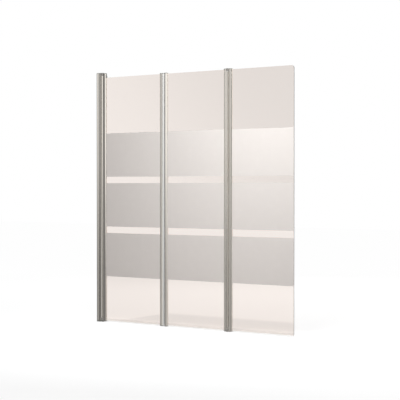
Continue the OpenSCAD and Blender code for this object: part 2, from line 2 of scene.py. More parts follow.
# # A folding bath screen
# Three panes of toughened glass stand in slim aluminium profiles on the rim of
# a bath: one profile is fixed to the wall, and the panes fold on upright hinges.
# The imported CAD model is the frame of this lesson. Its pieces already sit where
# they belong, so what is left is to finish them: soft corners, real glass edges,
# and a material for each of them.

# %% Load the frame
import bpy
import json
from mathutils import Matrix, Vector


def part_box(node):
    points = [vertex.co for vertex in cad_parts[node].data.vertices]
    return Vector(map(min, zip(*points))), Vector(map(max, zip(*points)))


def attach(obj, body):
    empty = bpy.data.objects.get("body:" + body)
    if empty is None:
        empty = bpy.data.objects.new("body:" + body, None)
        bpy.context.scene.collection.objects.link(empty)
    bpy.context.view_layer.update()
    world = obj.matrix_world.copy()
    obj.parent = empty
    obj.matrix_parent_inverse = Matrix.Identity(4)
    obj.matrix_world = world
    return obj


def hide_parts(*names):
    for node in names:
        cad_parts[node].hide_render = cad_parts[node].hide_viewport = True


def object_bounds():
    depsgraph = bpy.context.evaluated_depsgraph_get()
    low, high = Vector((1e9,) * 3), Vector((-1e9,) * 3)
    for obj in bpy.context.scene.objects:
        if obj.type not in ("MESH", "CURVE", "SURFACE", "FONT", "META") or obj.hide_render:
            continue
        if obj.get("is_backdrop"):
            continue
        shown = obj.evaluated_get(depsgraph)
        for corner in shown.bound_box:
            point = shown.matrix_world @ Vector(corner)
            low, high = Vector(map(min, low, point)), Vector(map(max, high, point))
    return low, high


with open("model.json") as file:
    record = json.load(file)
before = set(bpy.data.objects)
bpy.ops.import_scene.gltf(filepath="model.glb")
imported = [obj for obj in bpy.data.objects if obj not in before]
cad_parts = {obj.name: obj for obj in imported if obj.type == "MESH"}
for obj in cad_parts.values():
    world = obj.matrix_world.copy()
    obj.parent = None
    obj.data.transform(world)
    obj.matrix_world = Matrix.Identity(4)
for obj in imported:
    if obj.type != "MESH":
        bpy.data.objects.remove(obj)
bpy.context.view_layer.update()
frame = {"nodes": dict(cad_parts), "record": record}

# %% [markdown]
# The record that was packed with the model says which finish each piece has and
# which body carries it. Two small tables make that easy to look up.

# %% Which finish and which body a piece has
import json
import math

import bmesh
import bpy
import numpy as np
from mathutils import Vector
from mathutils.geometry import tessellate_polygon

record = frame["record"]
slot_of = {part["node"]: part["material_slot"] for part in record["subparts"]}
body_of = {node: body for body, owned in record["behaviour"]["bodies"].items() for node in owned}

# %% [markdown]
# ## The camera
# The lines of the glass run together to the left, so the camera stands to the
# right of the screen, and the rim of the bath lies below its eye. Where those
# lines meet gives the angle, and how fast they close gives the distance: about
# 6.5 m, through a long lens. A long lens keeps the uprights parallel.

# %% Set up the camera
CAMERA_PLACE = (4.149, -5.081, 0.755)
CAMERA_TURN = math.radians(34.19)
CAMERA_DIP = math.radians(0.612)
LENS = 104.1
SENSOR = 36

camera_data = bpy.data.cameras.new("camera")
camera_data.sensor_width = SENSOR
camera_data.lens = LENS
camera_data.clip_end = 100
camera = bpy.data.objects.new("camera", camera_data)
camera.location = CAMERA_PLACE
camera.rotation_euler = (math.pi / 2 - CAMERA_DIP, 0, CAMERA_TURN)
bpy.context.collection.objects.link(camera)
bpy.context.scene.camera = camera
print("camera", round(Vector(CAMERA_PLACE).length, 2), "m from the wall, lens", LENS, "mm")

# %% [markdown]
# ## Small helpers for node trees
# Every finish below is a handful of nodes: a pattern in real millimetres, spread
# to a range, that drives a colour, the roughness and a bump. These helpers keep
# each of them to a few readable lines. A number that is the same all over a
# surface goes straight on the shader's own socket, where an export finds it.

# %% Start a material
def new_material(name):
    """An empty node material: gives back the material, its tree and its output."""
    material = bpy.data.materials.new(name)
    material.use_nodes = True
    tree = material.node_tree
    tree.nodes.clear()
    return material, tree, tree.nodes.new("ShaderNodeOutputMaterial")


def principled(tree, **settings):
    """A Principled shader with plain numbers on its own sockets."""
    shader = tree.nodes.new("ShaderNodeBsdfPrincipled")
    for name, value in settings.items():
        shader.inputs[name.replace("_", " ")].default_value = value
    return shader


print("helpers: new_material, principled")

# %% [markdown]
# A pattern could be wrapped round a piece with a UV map, but a map on a profile
# 1.4 m long and 17 mm wide stretches it. Noise on the coordinates of the object
# itself needs no map and has a true scale: all pieces share one origin, so a
# number of cells per metre means the same on each of them.

# %% Patterns on real coordinates
def grain(tree, per_metre, detail=2.0):
    """Noise with so many cells a metre along X, Y and Z of the whole object."""
    place = tree.nodes.new("ShaderNodeTexCoord")
    mapping = tree.nodes.new("ShaderNodeMapping")
    mapping.inputs["Scale"].default_value = per_metre
    noise = tree.nodes.new("ShaderNodeTexNoise")
    noise.inputs["Scale"].default_value = 1
    noise.inputs["Detail"].default_value = detail
    tree.links.new(place.outputs["Object"], mapping.inputs["Vector"])
    tree.links.new(mapping.outputs["Vector"], noise.inputs["Vector"])
    return noise.outputs["Fac"]


def spread(tree, value, low, high, from_low=0.3, from_high=0.7):
    """Stretches a pattern so that it runs from low to high."""
    node = tree.nodes.new("ShaderNodeMapRange")
    for socket, number in zip(
        ("From Min", "From Max", "To Min", "To Max"), (from_low, from_high, low, high)
    ):
        node.inputs[socket].default_value = number
    tree.links.new(value, node.inputs["Value"])
    return node.outputs["Result"]


def two_tone(tree, value, dark, light):
    """A colour between two, chosen by a pattern."""
    node = tree.nodes.new("ShaderNodeMix")
    node.data_type = "RGBA"
    node.inputs["A"].default_value = (*dark, 1)
    node.inputs["B"].default_value = (*light, 1)
    tree.links.new(value, node.inputs["Factor"])
    return node.outputs["Result"]


def relief(tree, height, depth):
    """A bump as deep as the pattern's height times a depth in metres."""
    node = tree.nodes.new("ShaderNodeBump")
    node.inputs["Strength"].default_value = 1
    node.inputs["Distance"].default_value = depth
    tree.links.new(height, node.inputs["Height"])
    return node.outputs["Normal"]


print("helpers: grain, spread, two_tone, relief")

# %% [markdown]
# Light and floor need some arithmetic on rays and places. A socket can take a
# plain number or a link from another node, and these helpers accept either, so
# a sum reads like a sum.

# %% Sums on numbers and sockets
def feed(tree, socket, value):
    """Puts a plain number on a socket, or links another socket to it."""
    if isinstance(value, (int, float)):
        socket.default_value = value
    else:
        tree.links.new(value, socket)


def between(tree, factor, low, high):
    """A number between two; each may be a socket or a plain number."""
    node = tree.nodes.new("ShaderNodeMix")
    node.data_type = "FLOAT"
    for name, value in (("Factor", factor), ("A", low), ("B", high)):
        feed(tree, node.inputs[name], value)
    return node.outputs["Result"]


def calc(tree, operation, *values):
    """One sum, such as MULTIPLY or ARCTAN2, on numbers or sockets."""
    node = tree.nodes.new("ShaderNodeMath")
    node.operation = operation
    for socket, value in zip(node.inputs, values):
        feed(tree, socket, value)
    return node.outputs[0]


print("helpers: feed, between, calc")

# %% [markdown]
# ## The studio
# A catalogue picture of glass is taken in a white room. Glass has little colour
# of its own: it shows what lies behind it, and metal shows what lies in front of
# it. The world therefore gives each kind of ray its own answer: plain white for
# what is seen directly, nearly white for what is seen through the glass, a
# middle grey that lights matt surfaces evenly, and a room with bright and dark
# walls for reflections. In an all-white room the profiles would look like
# painted wood; the dark walls give them the stripes of polished metal.

# %% Ask a ray what it is and where it goes
def seen_as(tree, kind):
    """1 for the named kind of ray, 0 for all others."""
    return tree.nodes.new("ShaderNodeLightPath").outputs[kind]


def towards(tree, direction, start, full):
    """0 to 1 as a ray turns towards a direction, by the cosine between them."""
    place = tree.nodes.new("ShaderNodeTexCoord")
    cosine = tree.nodes.new("ShaderNodeVectorMath")
    cosine.operation = "DOT_PRODUCT"
    cosine.inputs[1].default_value = direction
    ramp = tree.nodes.new("ShaderNodeMapRange")
    ramp.interpolation_type = "SMOOTHSTEP"
    ramp.inputs["From Min"].default_value = start
    ramp.inputs["From Max"].default_value = full
    tree.links.new(place.outputs["Generated"], cosine.inputs[0])
    tree.links.new(cosine.outputs["Value"], ramp.inputs["Value"])
    return ramp.outputs["Result"]


print("helpers: seen_as, towards")

# %% [markdown]
# A mirror turned by some angle shows the wall twice that angle further round.
# From this camera the flat fronts of the profiles show the walls at bearings of
# -39 to -33 degrees, and their slanted and round faces show all the others. So
# the walls are written as levels at bearings, which count from straight out of
# the screen and grow towards its free edge. Rays that rise see the upper walls.
# Rays that fall see the lower ones, which also stand for the floor: they are
# darker, so that the bright stripes fade towards the foot of the screen.
#
# The real room is unknown. These levels were fitted to how bright the stripes of
# the profiles are in the photograph, and then rounded to a few stops, so they
# are a made-up room that gives such stripes from this side.

# %% The walls of the room
HIGH_ROOM = [
    (-180, 1.0), (-135, 1.0), (-105, 0.04), (-58, 0.06), (-50, 0.35), (-45, 0.5),
    (-39, 0.24), (-33, 0.48), (-28, 1.0), (32, 1.0), (40, 0.08), (48, 0.25),
    (58, 0.6), (66, 0.6), (76, 0.05), (90, 0.1), (110, 1.0), (180, 1.0),
]
LOW_ROOM = [
    (-180, 0.6), (-140, 0.6), (-105, 0.04), (-66, 0.06), (-55, 0.2), (-44, 0.12),
    (-37, 0.1), (-33, 0.4), (-28, 0.7), (-12, 0.5), (8, 0.04), (24, 0.1), (32, 0.25),
    (40, 0.15), (52, 0.8), (58, 0.8), (76, 0.04), (90, 0.15), (130, 0.9), (180, 0.9),
]


def room(tree, turn, stops):
    """How bright the walls are at each bearing, from a table of degrees and level."""
    walls = tree.nodes.new("ShaderNodeValToRGB")
    ramp = walls.color_ramp
    while len(ramp.elements) < len(stops):
        ramp.elements.new(0.5)
    for element, (degrees, level) in zip(ramp.elements, stops):
        element.position = (degrees + 180) / 360
        element.color = (level, level, level, 1)
    tree.links.new(turn, walls.inputs["Fac"])
    return walls.outputs["Color"]


print("walls:", len(HIGH_ROOM), "levels above eye level,", len(LOW_ROOM), "below")

# %% [markdown]
# The world puts these answers together. The bearing of a ray is the arc tangent
# of its sideways part over its part into the room. What is seen through the
# glass gets a little darker towards the upper right, as in the photograph.

# %% The world
MATT_LEVEL = 0.31
UP = (0, 0, 1)
EYE_BAND = (-0.09, 0.066)
UPPER_RIGHT = (0.703, 0.478, 0.53)
UPPER_RIGHT_BAND = (-0.06, 0.12)
UPPER_RIGHT_LEVEL = 0.83

world = bpy.data.worlds.new("studio")
bpy.context.scene.world = world
world.use_nodes = True
tree = world.node_tree
tree.nodes.clear()
sky = tree.nodes.new("ShaderNodeBackground")
sky.inputs["Color"].default_value = (1, 1, 1, 1)
place = tree.nodes.new("ShaderNodeTexCoord")
parts = tree.nodes.new("ShaderNodeSeparateXYZ")
tree.links.new(place.outputs["Generated"], parts.inputs[0])
into_room = calc(tree, "MULTIPLY", parts.outputs["Y"], -1.0)
bearing = calc(tree, "ARCTAN2", parts.outputs["X"], into_room)
turn = spread(tree, bearing, 0.0, 1.0, -math.pi, math.pi)
high = room(tree, turn, HIGH_ROOM)
low = room(tree, turn, LOW_ROOM)
mirrored = between(tree, towards(tree, UP, *EYE_BAND), low, high)
lighting = between(tree, seen_as(tree, "Is Glossy Ray"), MATT_LEVEL, mirrored)
away = towards(tree, UPPER_RIGHT, *UPPER_RIGHT_BAND)
through = between(tree, away, 1.0, UPPER_RIGHT_LEVEL)
behind = between(tree, seen_as(tree, "Is Transmission Ray"), lighting, through)
direct = between(tree, seen_as(tree, "Is Camera Ray"), behind, 1.0)
tree.links.new(direct, sky.inputs["Strength"])
world_out = tree.nodes.new("ShaderNodeOutputWorld")
tree.links.new(sky.outputs[0], world_out.inputs["Surface"])
print("world: matt surfaces get", MATT_LEVEL, "of white, the eye and the glass see white")

# %% [markdown]
# One large soft box stands to the right in front of the screen, close enough
# that the satin bands grow lighter towards it, as they do in the photograph. It
# is a shade cooler than white, because the lightest bands there are the least
# warm. A second one, further off, lights the bath side, so that the screen is
# also clear from behind.

# %% The soft boxes
def soft_box(name, place, target, width, height, watts, colour=(1, 1, 1)):
    """A rectangular lamp at a place, turned to a target, unseen by the camera."""
    data = bpy.data.lights.new(name, "AREA")
    data.shape = "RECTANGLE"
    data.size = width
    data.size_y = height
    data.energy = watts
    data.color = colour
    lamp = bpy.data.objects.new(name, data)
    lamp.location = place
    lamp.rotation_euler = (Vector(target) - Vector(place)).to_track_quat("-Z", "Y").to_euler()
    lamp.visible_camera = False
    lamp.visible_glossy = False
    lamp.visible_transmission = False
    bpy.context.collection.objects.link(lamp)
    print(name, "stands", round((Vector(target) - Vector(place)).length, 2), "m away")


soft_box("key_box", (1.2, -1.15, 1.5), (0.85, 0, 0.95), 0.8, 0.8, 19.5, (0.95, 0.98, 1))
soft_box("bath_side_box", (-0.3, 2.6, 2.2), (0.6, 0, 0.7), 1.6, 1.2, 27)

# %% [markdown]
# The floor is a pale sheet. Part of its white is its own glow, which is full for
# the eye and through the glass and weak for all other rays, and the rest is
# light that it sends back. So it melts into the white room and still keeps the
# soft shadow of the screen. The profiles don't mirror it, because the lower
# walls already stand for it.

# %% The sheet of the floor
FLOOR_HALF = 14.0

floor_mesh = bpy.data.meshes.new("floor")
corners = FLOOR_HALF * np.array([(-1, -1, 0), (1, -1, 0), (1, 1, 0), (-1, 1, 0)])
floor_mesh.from_pydata(corners.tolist(), [], [(0, 1, 2, 3)])
floor = bpy.data.objects.new("floor", floor_mesh)
bpy.context.collection.objects.link(floor)
floor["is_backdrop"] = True
floor.visible_glossy = False
print("floor", 2 * FLOOR_HALF, "m wide")

# %% [markdown]
# The glow grows with the distance from the screen, so that the eye finds no
# horizon, and more slowly where it is seen through the glass. There a strip
# close behind the screen, from 7 cm off the wall onwards, glows a little less:
# it is a painted shadow on the floor, seen only through the glass, and it gives
# the soft grey at the foot of the panes.

# %% The glow of the floor
FLOOR_ALBEDO = 0.45
GLOW_NEAR, GLOW_FAR = 0.75, 0.85
GLOW_GROWS_SEEN, GLOW_GROWS_BEYOND = (1.0, 4.0), (3.0, 9.0)
GLOW_FOR_OTHERS = 0.25
# SHADE is how much glow the painted shadow strip takes away.
SHADE = 0.12
SHADE_STARTS_X = (0.07, 0.09)
SHADE_STARTS_Y, SHADE_ENDS_Y = (-0.01, 0.0), (0.5, 0.6)

material, tree, out = new_material("pale_floor")
sheet = tree.nodes.new("ShaderNodeBsdfDiffuse")
sheet.inputs["Color"].default_value = (FLOOR_ALBEDO, FLOOR_ALBEDO, FLOOR_ALBEDO, 1)
glow = tree.nodes.new("ShaderNodeEmission")
where = tree.nodes.new("ShaderNodeTexCoord")
distance = tree.nodes.new("ShaderNodeVectorMath")
distance.operation = "LENGTH"
tree.links.new(where.outputs["Object"], distance.inputs[0])
along = tree.nodes.new("ShaderNodeSeparateXYZ")
tree.links.new(where.outputs["Object"], along.inputs[0])
seen = spread(tree, distance.outputs["Value"], GLOW_NEAR, GLOW_FAR, *GLOW_GROWS_SEEN)
beyond = spread(tree, distance.outputs["Value"], GLOW_NEAR, GLOW_FAR, *GLOW_GROWS_BEYOND)
from_wall = spread(tree, along.outputs["X"], 0.0, 1.0, *SHADE_STARTS_X)
behind_it = spread(tree, along.outputs["Y"], 0.0, 1.0, *SHADE_STARTS_Y)
close_by = spread(tree, along.outputs["Y"], 1.0, 0.0, *SHADE_ENDS_Y)
# Painted shadow: a strip behind the screen where rays through the glass find the floor glowing
# less.
painted_shadow_strip = calc(tree, "MULTIPLY", from_wall, calc(tree, "MULTIPLY", close_by, behind_it))
through_glass = calc(tree, "MULTIPLY_ADD", painted_shadow_strip, -SHADE, beyond)
others = between(tree, seen_as(tree, "Is Camera Ray"), GLOW_FOR_OTHERS, seen)
amount = between(tree, seen_as(tree, "Is Transmission Ray"), others, through_glass)
tree.links.new(amount, glow.inputs["Strength"])
both = tree.nodes.new("ShaderNodeAddShader")
tree.links.new(sheet.outputs[0], both.inputs[0])
tree.links.new(glow.outputs[0], both.inputs[1])
tree.links.new(both.outputs[0], out.inputs["Surface"])
floor_mesh.materials.append(material)
print("floor sends back", FLOOR_ALBEDO, "and glows", GLOW_NEAR, "to", GLOW_FAR)

# %% [markdown]
# ## Finishes
# The profiles are extruded and then anodised. The die leaves fine lines that run
# the whole length of the profile, a fraction of a millimetre apart, and the
# anodic layer makes them silky. Noise with 2500 cells a metre across and almost
# none along the profile draws those lines; a slow cloud keeps long faces from
# looking like plastic.

# %% Anodised aluminium
def anodised_aluminium():
    """Metal with fine lines along Z in its roughness and relief."""
    material, tree, out = new_material("anodised_aluminium")
    shader = principled(tree, Metallic=1)
    lines = grain(tree, (2500, 2500, 0.02), 3)
    cloud = grain(tree, (9, 9, 2.5), 3)
    silver = two_tone(tree, spread(tree, cloud, 0, 1), (0.94, 0.885, 0.81), (0.99, 0.94, 0.87))
    tree.links.new(silver, shader.inputs["Base Color"])
    tree.links.new(spread(tree, lines, 0.05, 0.11), shader.inputs["Roughness"])
    tree.links.new(relief(tree, lines, 0.000004), shader.inputs["Normal"])
    tree.links.new(shader.outputs[0], out.inputs["Surface"])
    return material


finishes = {"aluminium": anodised_aluminium()}
print("made", finishes["aluminium"].name)

# %% [markdown]
# Clear toughened glass is a slab with a faint warm cast in this light. Toughening
# rolls it over hot rollers, which leaves a slow wave of a few microns in the
# reflections. A slab that bends light also bends the light that should pass
# through it to the floor, so shadows are worked out as if it were plain tinted
# film: that is cheap, and the shadow stays clean. The ground edge scatters
# light, so it is paler and rougher than the faces. An attribute on the mesh
# says where it is.

# %% Clear glass
def clear_glass():
    """Clear slab whose ground edge is paler and frosted, and a film for shadows."""
    material, tree, out = new_material("clear_glass")
    slab = principled(tree, IOR=1.5, Transmission_Weight=1.0)
    marked = tree.nodes.new("ShaderNodeAttribute")
    marked.attribute_name = "ground_edge"
    edge = marked.outputs["Fac"]
    tint = two_tone(tree, edge, (0.92, 0.85, 0.805), (0.98, 0.98, 0.94))
    tree.links.new(tint, slab.inputs["Base Color"])
    tree.links.new(spread(tree, edge, 0.0, 0.25, 0, 1), slab.inputs["Roughness"])
    wave = grain(tree, (4, 4, 1.5), 1)
    tree.links.new(relief(tree, wave, 0.0002), slab.inputs["Normal"])
    film = tree.nodes.new("ShaderNodeBsdfTransparent")
    film.inputs["Color"].default_value = (0.9, 0.87, 0.85, 1)
    choose = tree.nodes.new("ShaderNodeMixShader")
    tree.links.new(seen_as(tree, "Is Shadow Ray"), choose.inputs["Fac"])
    tree.links.new(slab.outputs[0], choose.inputs[1])
    tree.links.new(film.outputs[0], choose.inputs[2])
    tree.links.new(choose.outputs[0], out.inputs["Surface"])
    return material


finishes["glass"] = clear_glass()
print("made", finishes["glass"].name)

# %% [markdown]
# The bands are a satin film: about a seventh of the light passes and is
# scattered, and the rest is thrown back softly. Its grain is fine, about a
# millimetre, so it gives no pattern at arm's length but keeps the highlight wide
# and even. A faint cloud stands for the slight unevenness of a real film.

# %% Satin film
def satin_film():
    """Warm white film with a fine grain and a faint cloud in its colour."""
    material, tree, out = new_material("satin_film")
    shader = principled(tree, IOR=1.45, Transmission_Weight=0.15)
    fine = grain(tree, (1100, 1100, 1100), 3)
    cloud = grain(tree, (26, 26, 26), 3)
    mottle = spread(tree, between(tree, spread(tree, cloud, 0.2, 0.8), fine, cloud), 0, 1)
    tone = two_tone(tree, mottle, (0.815, 0.752, 0.709), (0.845, 0.782, 0.739))
    tree.links.new(tone, shader.inputs["Base Color"])
    tree.links.new(spread(tree, fine, 0.45, 0.6), shader.inputs["Roughness"])
    tree.links.new(relief(tree, fine, 0.00003), shader.inputs["Normal"])
    tree.links.new(shader.outputs[0], out.inputs["Surface"])
    return material


finishes["satin_film"] = satin_film()
print("made", finishes["satin_film"].name)

# %% [markdown]
# Caps, bushes and screw covers are injection moulded. Their mould is spark
# eroded, which leaves a fine even grain. Gaskets and seals are extruded: they
# have the same grain, drawn out along their length. One function serves all of
# them, with the cells a metre as a setting. The seal under the panes is almost
# clear, and the one in the gap of each fold is milky, so that it hides the gap.

# %% Moulded and extruded plastic
ALL_WAYS = (1500, 1500, 1500)
UPRIGHT = (2000, 2000, 40)
LEVEL = (40, 2000, 2000)


def plastic(name, dark, light, rough, cells, **settings):
    """Plastic between two tones, with so many cells of grain a metre each way."""
    material, tree, out = new_material(name)
    shader = principled(tree, IOR=1.5, **settings)
    skin = grain(tree, cells, 2)
    cloud = grain(tree, (45, 45, 45), 2)
    tone = two_tone(tree, spread(tree, cloud, 0, 1), dark, light)
    tree.links.new(tone, shader.inputs["Base Color"])
    tree.links.new(spread(tree, skin, *rough), shader.inputs["Roughness"])
    tree.links.new(relief(tree, skin, 0.00002), shader.inputs["Normal"])
    tree.links.new(shader.outputs[0], out.inputs["Surface"])
    return material


finishes["gasket"] = plastic(
    "cream_gasket", (0.87, 0.84, 0.79), (0.93, 0.90, 0.85), (0.5, 0.65), UPRIGHT
)
finishes["clear_seal"] = plastic(
    "clear_seal", (0.90, 0.87, 0.84), (0.95, 0.92, 0.89), (0.1, 0.2), LEVEL, Alpha=0.08
)
milky_seal = plastic(
    "milky_seal", (0.93, 0.91, 0.88), (0.97, 0.95, 0.92), (0.2, 0.3), UPRIGHT, Alpha=0.65
)
finishes["white_plastic"] = plastic(
    "white_plastic", (0.76, 0.75, 0.72), (0.81, 0.80, 0.77), (0.4, 0.55), ALL_WAYS
)
finishes["grey_plastic"] = plastic(
    "grey_plastic", (0.32, 0.315, 0.295), (0.37, 0.365, 0.345), (0.4, 0.55), ALL_WAYS
)
finishes["dark_plastic"] = plastic(
    "dark_plastic", (0.21, 0.205, 0.185), (0.26, 0.255, 0.23), (0.4, 0.55), ALL_WAYS
)
print("made six plastics; finishes so far:", len(finishes) + 1)

# %% [markdown]
# The hinge blocks are cast in a steel mould and blasted, so their metal has a
# fine even grain instead of drawn lines, and reflects less sharply.

# %% Cast metal
def cast_metal():
    """Blasted metal with the same grain each way."""
    material, tree, out = new_material("cast_metal")
    shader = principled(tree, Metallic=1)
    blast = grain(tree, (2200, 2200, 2200), 3)
    cloud = grain(tree, (60, 60, 60), 2)
    tone = two_tone(tree, spread(tree, cloud, 0, 1), (0.62, 0.59, 0.55), (0.70, 0.67, 0.63))
    tree.links.new(tone, shader.inputs["Base Color"])
    tree.links.new(spread(tree, blast, 0.32, 0.45), shader.inputs["Roughness"])
    tree.links.new(relief(tree, blast, 0.00001), shader.inputs["Normal"])
    tree.links.new(shader.outputs[0], out.inputs["Surface"])
    return material


finishes["cast_metal"] = cast_metal()
print("made", finishes["cast_metal"].name)

# %% [markdown]
# Pins and screws are turned from stainless bar. The tool leaves rings round the
# axis, so the lines of this finish lie across Z, the axis of every pin.

# %% Turned steel
def turned_steel():
    """Metal with fine rings across Z."""
    material, tree, out = new_material("turned_steel")
    shader = principled(tree, Metallic=1)
    rings = grain(tree, (120, 120, 5000), 2)
    tone = two_tone(tree, spread(tree, rings, 0, 1), (0.60, 0.59, 0.57), (0.72, 0.71, 0.69))
    tree.links.new(tone, shader.inputs["Base Color"])
    tree.links.new(spread(tree, rings, 0.18, 0.32), shader.inputs["Roughness"])
    tree.links.new(relief(tree, rings, 0.000006), shader.inputs["Normal"])
    tree.links.new(shader.outputs[0], out.inputs["Surface"])
    return material


finishes["steel"] = turned_steel()
print("made", finishes["steel"].name)

# %% [markdown]
# The record names a slot for each piece, so its finish can be looked up. Only
# the seals in the two folds differ from the other seals. Screws, pins, bushes,
# satin bands and fold seals stay as the CAD model has them, and need no more
# than this. A CAD piece is never moved or reshaped here, only finished.

# %% Put the finishes on the CAD pieces
finish_of = {node: finishes[slot] for node, slot in slot_of.items()}
finish_of["hinge_seal_1"] = finish_of["hinge_seal_2"] = milky_seal
for name, node in frame["nodes"].items():
    for slot in node.material_slots:
        slot.material = finish_of[name]
print(len(finishes) + 1, "finishes on", len(frame["nodes"]), "pieces")

# %% [markdown]
# ## Shapes
# The CAD model has every piece with true sizes but knife-sharp corners. No real
# profile has those: an extrusion die rounds them by a few tenths, and it is this
# small radius that catches the light and draws a profile's edges. The main
# profiles, the gaskets, the seals and the glass are therefore made again here as
# surfaces with soft corners, in the same place and size as the CAD piece that
# each of them stands for.
#
# An extrusion is one outline carried along a straight line, so the outline is
# all there is to design. It is a list of corners, each with its own radius.

# %% Round the corners of an outline
def soften(corners, steps=4):
    """Outline with rounded corners, from rows of x, y, radius in millimetres.

    At a corner with an inner angle 2a the arc starts radius / tan(a) before the
    corner and its centre lies radius / sin(a) inside it, on the bisector. The
    points in between turn evenly from the one end to the other, which is a
    weighted sum of the two end directions with sines as weights.
    """
    rows = np.asarray(corners, float)
    corner, radius = rows[:, :2], rows[:, 2:]
    back = np.roll(corner, 1, 0) - corner
    ahead = np.roll(corner, -1, 0) - corner
    back /= np.linalg.norm(back, axis=1, keepdims=True)
    ahead /= np.linalg.norm(ahead, axis=1, keepdims=True)
    half = np.arccos(np.clip((back * ahead).sum(1, keepdims=True), -1, 1)) / 2
    inward = back + ahead
    inward /= np.maximum(np.linalg.norm(inward, axis=1, keepdims=True), 1e-9)
    centre = corner + inward * radius / np.sin(half)
    first = corner + back * radius / np.tan(half) - centre
    last = corner + ahead * radius / np.tan(half) - centre
    sweep = np.pi - 2 * half
    share = np.linspace(0, 1, steps + 1)[None, :, None]
    weight = np.maximum(np.sin(sweep), 1e-9)[:, None]
    arc = first[:, None] * np.sin((1 - share) * sweep[:, None]) / weight
    arc += last[:, None] * np.sin(share * sweep[:, None]) / weight
    points = centre[:, None] + arc
    keep = np.ones(points.shape[:2], bool)
    sharp = radius[:, 0] == 0
    keep[sharp, 1:] = False
    points[sharp] = corner[sharp, None]
    return points[keep]


square = soften([(0, 0, 1), (10, 0, 1), (10, 10, 1), (0, 10, 1)])
print("a 10 mm square with 1 mm corners has", len(square), "points")

# %% [markdown]
# Carrying the outline along a line gives the walls as one grid of faces. The
# two ends are flat areas with holes in them, which are cut into triangles. A
# Solidify modifier on a flat outline would do much the same, but a closed solid
# from the start keeps every face pointing outwards and needs no modifier.

# %% Carry outlines along a line
MM = 0.001


def carry(rings, start, end, along="z"):
    """A closed solid from outlines in millimetres, carried from start to end.

    The first ring runs anticlockwise round the outside and the others clockwise
    round the holes, so the wall between point i and the next one is the face
    (i, next, next above, i above). The ends are the flat area between the rings,
    cut into triangles. Along X an outline's two values are Y and Z.
    """
    flat = np.vstack(rings)
    count = len(flat)
    low = np.column_stack([flat, np.full(count, start)])
    high = np.column_stack([flat, np.full(count, end)])
    vertices = np.vstack([low, high])
    if along == "x":
        vertices = np.roll(vertices, 1, axis=1)
    offsets = np.cumsum([0] + [len(ring) for ring in rings[:-1]])
    turns = [np.arange(len(ring)) for ring in rings]
    here = np.concatenate([first + turn for first, turn in zip(offsets, turns)])
    there = np.concatenate([first + np.roll(turn, -1) for first, turn in zip(offsets, turns)])
    walls = np.column_stack([here, there, there + count, here + count])
    ends = np.array(tessellate_polygon([[(x, y, 0) for x, y in ring] for ring in rings]))
    a, b, c = flat[ends[:, 0]], flat[ends[:, 1]], flat[ends[:, 2]]
    area = (b - a)[:, 0] * (c - a)[:, 1] - (b - a)[:, 1] * (c - a)[:, 0]
    ends[area < 0] = ends[area < 0][:, ::-1]
    faces = walls.tolist() + (ends + count).tolist() + ends[:, ::-1].tolist()
    return vertices * MM, faces


def join(*solids):
    """Several closed solids as one set of vertices and faces."""
    vertices, faces, first = [], [], 0
    for points, polygons in solids:
        vertices.append(points)
        faces += [[first + index for index in polygon] for polygon in polygons]
        first += len(points)
    return np.vstack(vertices), faces


print("a rod from that square has", len(carry([square], 0, 1)[1]), "faces")

# %% [markdown]
# A new piece stands for one CAD piece: it takes over its body, its slot and its
# finish. Round corners get smooth shading, and edges that turn by more than
# 32 degrees stay crisp. Weighted normals let the large flat faces win over the
# small rounds beside them, so that flat metal also looks flat.

# %% Put a piece in the scene
SHARP = math.radians(32)


def stand_in(name, mesh, node):
    """A mesh as an object in place of a CAD node, with its body, slot and finish."""
    mesh.shade_smooth()
    mesh.set_sharp_from_angle(angle=SHARP)
    mesh.materials.append(finish_of[node])
    piece = bpy.data.objects.new(name, mesh)
    bpy.context.collection.objects.link(piece)
    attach(piece, body_of[node])
    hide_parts(node)
    return piece


def add_piece(name, solid, node):
    """A stand-in made from the vertices and faces of a closed solid."""
    mesh = bpy.data.meshes.new(name)
    mesh.from_pydata(solid[0].tolist(), [], solid[1])
    mesh.update()
    piece = stand_in(name, mesh, node)
    piece.modifiers.new("even_normals", "WEIGHTED_NORMAL").keep_sharp = True
    return piece


print("helpers: stand_in, add_piece; edges above", round(math.degrees(SHARP)), "degrees stay crisp")

# %% [markdown]
# ## The glass profiles
# Each upright profile is a box with bulging side faces, a slot for the glass on
# one side and a closed chamber for the cap screws on the other. Five profiles
# share this outline; three of them also carry a barrel with the hinge bushes.
# The outline is drawn from the hinge axis, then turned to the wall or away.
#
# A flat face of polished metal is a plane mirror, and its turn decides which
# wall of the room it shows. The bulge of each side face is therefore drawn as
# three or four flat facets with soft corners between them. The photograph shows
# different stripes on each profile, so there are four such crowns, chosen with
# the walls of the room until the stripes came out alike. All of them stay within
# about a millimetre of the even bulge of the CAD piece.

# %% The outline of a glass profile
NEAR, FAR = 6.9, 23.9
SIDE, EDGE = 6, 0.5
CHAMBER = (8.4, 12.4, 4.5)
SLOT_FLOOR, SLOT_HALF = 13.9, 3.75
LIP, INNER = 0.35, 0.3
BROAD = (10.9, 9, 3), (19.9, 9, 3)
OUTWARD = (7.7, 6.95, 0.8), (19.6, 9, 2)
NARROW = (9.8, 8.8, 1.5), (19.9, 9, 3)
INWARD = (7.7, 7.3, 0.5), (14.5, 9, 1.5), (23.1, 6.95, 0.8)


